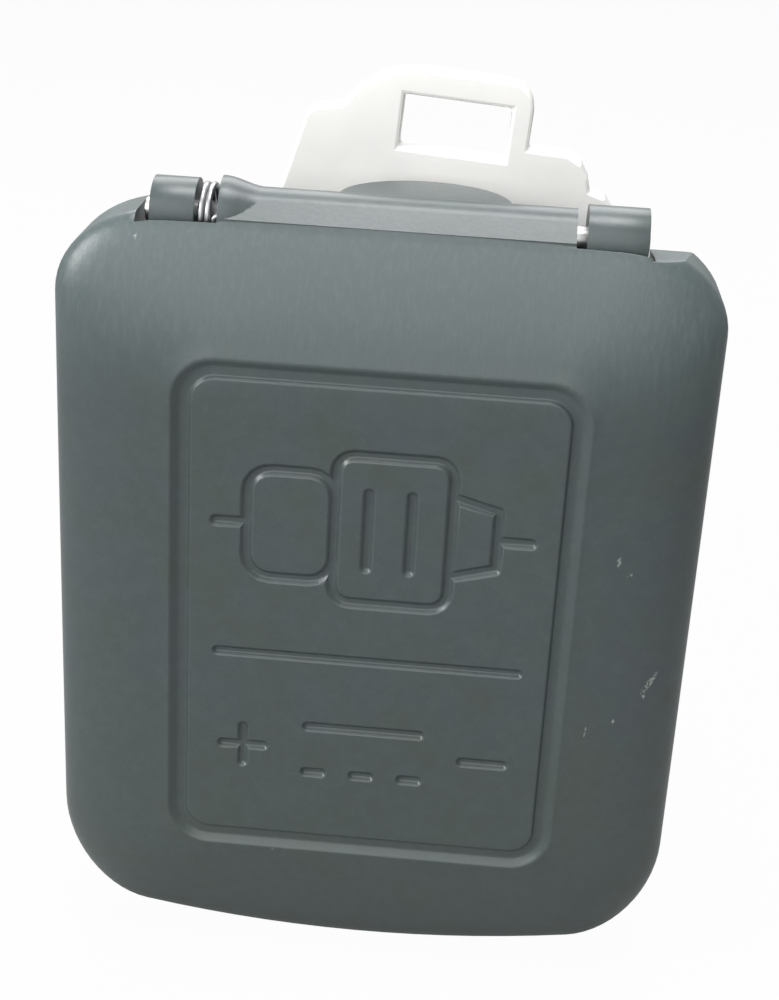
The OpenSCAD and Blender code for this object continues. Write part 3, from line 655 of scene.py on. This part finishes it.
def dust_ring():
    """Ring round the mouth and the four ribs that run out from it"""
    outer, inner = DUST_RING
    sunk = LID_INNER - 0.5
    chamfer = 0.25
    overlap = 0.6
    profile = [(outer, sunk), (outer, DUST_RING_BACK - chamfer), (outer - chamfer, DUST_RING_BACK),
        (inner + chamfer, DUST_RING_BACK), (inner, DUST_RING_BACK - chamfer), (inner, sunk)]
    bm = bmesh.new()
    steps = 120
    rows = [[bm.verts.new(Vector((r * math.cos(a), y, r * math.sin(a))) * MM) for r, y in profile]
        for a in [2 * math.pi * i / steps for i in range(steps)]]
    for row, after in zip(rows, rows[1:] + rows[:1]):
        for i in range(len(profile)):
            j = (i + 1) % len(profile)
            bm.faces.new((row[i], after[i], after[j], row[j]))
    ring = closed_mesh(bm, "dust_ring")
    ribs = []
    for quarter in range(4):
        low = (outer - overlap, sunk, -RIB_T / 2)
        rib = block(low, (outer + RIB_L, LID_INNER + RIB_H, RIB_T / 2))
        rib.transform(Matrix.Rotation(math.radians(45 + 90 * quarter), 4, "Y"))
        ribs.append(rib)
    return [ring] + ribs


# Signs cut into the panel's middle: strokes are straight lines with round ends and soft sides
PLUG_STROKE = 1.0
CURRENT_STROKE = 0.9
SIGN_DEPTH = 0.27
RULE_HALF = 10.5
RULE_Z = -3.3
RULE_W = 0.85


def stadium(start, end, half, steps=8):
    """Outline of a bar with round ends"""
    along = math.atan2(end[1] - start[1], end[0] - start[0])
    ring = []
    for (cx, cz), turn in ((end, along - math.pi / 2), (start, along + math.pi / 2)):
        turns = [turn + math.pi * i / steps for i in range(steps + 1)]
        ring += [(cx + half * math.cos(a), cz + half * math.sin(a)) for a in turns]
    return ring


def groove(start, end, width, depth):
    """Cutter whose sides fall along a soft curve to a narrow floor"""
    steps = 6
    rings = [ring_at(stadium(start, end, width / 2), PANEL_FLOOR - 0.5)]
    for i in range(steps + 1):
        t = i / steps
        fall = depth * (1 - math.cos(math.pi * t)) / 2
        rings.append(ring_at(stadium(start, end, width / 2 * (1 - 0.8 * t)), PANEL_FLOOR + fall))
    return loft("groove", rings[::-1])


def chain(points, closed=False):
    """Strokes from each point to the next"""
    after = points[1:] + points[:1] if closed else points[1:]
    return list(zip(points, after))


def rounded(x0, z0, x1, z1, r, steps=4):
    """Closed chain round a rectangle with round corners"""
    points = []
    corners = ((x1 - r, z1 - r, 0), (x0 + r, z1 - r, 90), (x0 + r, z0 + r, 180), (x1 - r, z0 + r, 270))
    for cx, cz, start in corners:
        turns = [math.radians(start + 90 * i / steps) for i in range(steps + 1)]
        points += [(cx + r * math.cos(a), cz + r * math.sin(a)) for a in turns]
    return chain(points, closed=True)


def plug_sign():
    """A plug on its side: grip, barrel with two ribs, neck and tip, with a lead to its left"""
    strokes = rounded(-8.3, 2.4, -2.6, 10.0, 1.6)
    strokes += rounded(-2.6, 1.0, 5.0, 11.4, 1.2)
    strokes += [((-0.4, 3.6), (-0.4, 8.8)), ((2.4, 3.6), (2.4, 8.8))]
    strokes += chain([(5.0, 9.0), (8.0, 8.2), (8.0, 4.2), (5.0, 3.4)])
    strokes += [((8.0, 6.2), (10.2, 6.2)), ((-10.3, 6.2), (-8.3, 6.2))]
    return strokes


def current_sign():
    """Direct current: a bar over three dashes, between a plus and a minus"""
    strokes = [((-3.8, -8.6), (3.8, -8.6))]
    strokes += [((x - 0.55, -12.2), (x + 0.55, -12.2)) for x in (-3.3, 0.0, 3.3)]
    strokes += [((-9.6, -10.4), (-6.8, -10.4)), ((-8.2, -9.0), (-8.2, -11.8)), ((6.8, -10.4), (9.6, -10.4))]
    return strokes


def sign_cutters():
    cutters = [groove(start, end, PLUG_STROKE, SIGN_DEPTH) for start, end in plug_sign()]
    cutters += [groove(start, end, CURRENT_STROKE, SIGN_DEPTH) for start, end in current_sign()]
    reach = RULE_HALF - RULE_W / 2
    return cutters + [groove((-reach, RULE_Z), (reach, RULE_Z), RULE_W, SIGN_DEPTH)]


def nib():
    foot = LID_BOTTOM - BOTTOM_BOW + NIB_SUNK
    return block((-NIB_HALF, LID_BACK - NIB_T, foot), (NIB_HALF, LID_BACK, NIB_TOP))


def make_lid_cover():
    cover = piece("lid_cover", lid_skin(), LID, None)
    boolean(cover, hinge_bar(POCKET[0], KNUCKLE[0], POCKET_R), "DIFFERENCE")
    boolean(cover, hinge_bar(KNUCKLE[1], POCKET[1], POCKET_R), "DIFFERENCE")
    slot = block((POCKET[0], HINGE_Y, HINGE_Z - POCKET_R), (POCKET[1], LID_BACK + 5, CUT_TOP))
    boolean(cover, slot, "DIFFERENCE")
    step = [(LID_FRONT, STEP_FRONT[1]), STEP_FRONT, STEP_BACK, (STEP_BACK[0], CUT_TOP), (LID_FRONT, CUT_TOP)]
    boolean(cover, bar_x(POCKET[1] - 0.2, STEP_RIGHT, step), "DIFFERENCE")
    boolean(cover, leaf_trim(), "DIFFERENCE")
    boolean(cover, leaf(), "UNION")
    boolean(cover, swell(), "UNION")
    boolean(cover, tongue(), "UNION")
    for mesh in dust_ring():
        boolean(cover, mesh, "UNION")
    boolean(cover, nib(), "UNION")
    boolean(cover, hinge_bar(*POCKET, PIN_HOLE_R), "DIFFERENCE")
    tang_hole = hinge_bar(KNUCKLE[0] - 0.5, TANG_HOLE_END, TANG_HOLE_R, -COIL_R, BEND_R, 24)
    boolean(cover, tang_hole, "DIFFERENCE")
    round_edges(cover, 0.14, 30)
    settle(cover)
    boolean(cover, joined(sign_cutters()), "DIFFERENCE", crossing=True)
    cover.data.materials.clear()
    cover.data.materials.append(LID)
    smooth(cover, 38)
    weighted = cover.modifiers.new("weighted", "WEIGHTED_NORMAL")
    weighted.keep_sharp = True
    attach(cover, "lid")
    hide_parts("lid")


# Lid spring: a round wire along the coil
WIRE_R = 0.21
COIL_R = 1.8
COIL_TURNS = 2.25
COIL_GAP = 0.05
LEG_L = 2.7
TANG_L = 0.9
BEND_R = 0.3
FLANGE_TOP = 23.0


def spring_path():
    first = LEFT_EAR[1] + WIRE_R + COIL_GAP
    last = KNUCKLE[0] - WIRE_R - COIL_GAP
    steps = 90
    path = [(first, HINGE_Y + LEG_L * (1 - i / 6), FLANGE_TOP + WIRE_R + COIL_GAP) for i in range(6)]
    for i in range(steps + 1):
        t = i / steps
        a = math.radians(-90 - 360 * COIL_TURNS * t)
        x = first + (last - first) * t
        path.append((x, HINGE_Y + COIL_R * math.cos(a), HINGE_Z + COIL_R * math.sin(a)))
    for i in range(1, 7):
        a = math.radians(15 * i)
        path.append((last + BEND_R * (1 - math.cos(a)), HINGE_Y - COIL_R, HINGE_Z + BEND_R * math.sin(a)))
    return path + [(last + BEND_R + TANG_L, HINGE_Y - COIL_R, HINGE_Z + BEND_R)]


def wire(path, r, sides=16):
    """Round wire through points, its rings turned with the path"""
    rings = []
    upright = Vector((1.0, 0.0, 0.0))
    for i, point in enumerate(path):
        ahead = (Vector(path[min(i + 1, len(path) - 1)]) - Vector(path[max(i - 1, 0)])).normalized()
        upright = (upright - ahead * upright.dot(ahead)).normalized()
        aside = ahead.cross(upright)
        turns = [2 * math.pi * k / sides for k in range(sides)]
        rings.append([Vector(point) + r * (upright * math.cos(a) + aside * math.sin(a)) for a in turns])
    return loft("wire", rings)


def make_spring():
    """The coil round the pin: its leg lies on the case's flange and its tang sits in the lid's knuckle"""
    spring = piece("lid_spring_wire", wire(spring_path(), WIRE_R), SPRING, None)
    smooth(spring, 50)
    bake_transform(spring)
    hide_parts("lid_spring")


make_lid_cover()
make_spring()


# Stage: a pale floor, soft lamps and a plain world
FLOOR_SIZE = 3.0
FLOOR_PALE = (0.4, 0.4, 0.4, 1.0)
WORLD_TINT = (0.92, 0.96, 1.0, 1.0)
WORLD_STRENGTH = 0.05


def white_rays(tree, mirrored_share):
    """1 for rays from the camera and through clear material, and a share for rays from glossy surfaces"""
    seen = tree.node("ShaderNodeLightPath", output="Is Camera Ray")
    mirrored = tree.node("ShaderNodeLightPath", output="Is Glossy Ray") * mirrored_share
    through = tree.node("ShaderNodeLightPath", output="Is Transmission Ray")
    return seen.math("MAXIMUM", mirrored).math("MAXIMUM", through)


def make_floor():
    corners = [(x * FLOOR_SIZE, z * FLOOR_SIZE, 0) for x, z in ((-1, -1), (1, -1), (1, 1), (-1, 1))]
    mesh = bpy.data.meshes.new("floor")
    mesh.from_pydata(corners, [], [(0, 1, 2, 3)])
    material = bpy.data.materials.new("floor_white")
    tree = Nodes(material)
    matt = tree.node("ShaderNodeBsdfDiffuse", inputs={"Color": FLOOR_PALE})
    glow = tree.node("ShaderNodeEmission", inputs={"Color": (1.0, 1.0, 1.0, 1.0), "Strength": 1.0})
    surface = tree.node("ShaderNodeMixShader", inputs={0: white_rays(tree, 0.15) * 0.97, 1: matt, 2: glow})
    tree.node("ShaderNodeOutputMaterial", inputs={"Surface": surface})
    mesh.materials.append(material)
    floor = bpy.data.objects.new("floor", mesh)
    bpy.context.scene.collection.objects.link(floor)
    floor.location.z = cad_box[0].z - 0.5 * MM


def make_world():
    world = bpy.data.worlds.new("studio")
    bpy.context.scene.world = world
    tree = Nodes(world)
    soft = tree.node("ShaderNodeBackground", inputs={"Color": WORLD_TINT, "Strength": WORLD_STRENGTH})
    white = tree.node("ShaderNodeBackground", inputs={"Color": (1.0, 1.0, 1.0, 1.0), "Strength": 1.0})
    surface = tree.node("ShaderNodeMixShader", inputs={0: white_rays(tree, 0.7), 1: soft, 2: white})
    tree.node("ShaderNodeOutputWorld", inputs={"Surface": surface})


def lamp(name, place, size, power):
    """Soft box at a place in metres, which points at the socket's mouth"""
    data = bpy.data.lights.new(name, "AREA")
    data.shape = "RECTANGLE"
    data.size, data.size_y = size
    data.energy = power
    made = bpy.data.objects.new(name, data)
    bpy.context.scene.collection.objects.link(made)
    made.location = place
    made.rotation_mode = "QUATERNION"
    made.rotation_quaternion = (-Vector(place)).to_track_quat("-Z", "Y")


make_floor()
make_world()
lamp("front_lamp", (-0.05, -0.39, 0.21), (0.50, 0.42), 1.33)
lamp("top_lamp", (0.0, -0.02, 0.27), (0.16, 0.10), 0.7)
lamp("left_lamp", (-0.33, -0.15, 0.17), (0.14, 0.14), 1.1)
lamp("back_lamp", (-0.03, 0.22, 0.25), (0.30, 0.20), 0.9)
bpy.context.scene.view_settings.view_transform = "Standard"
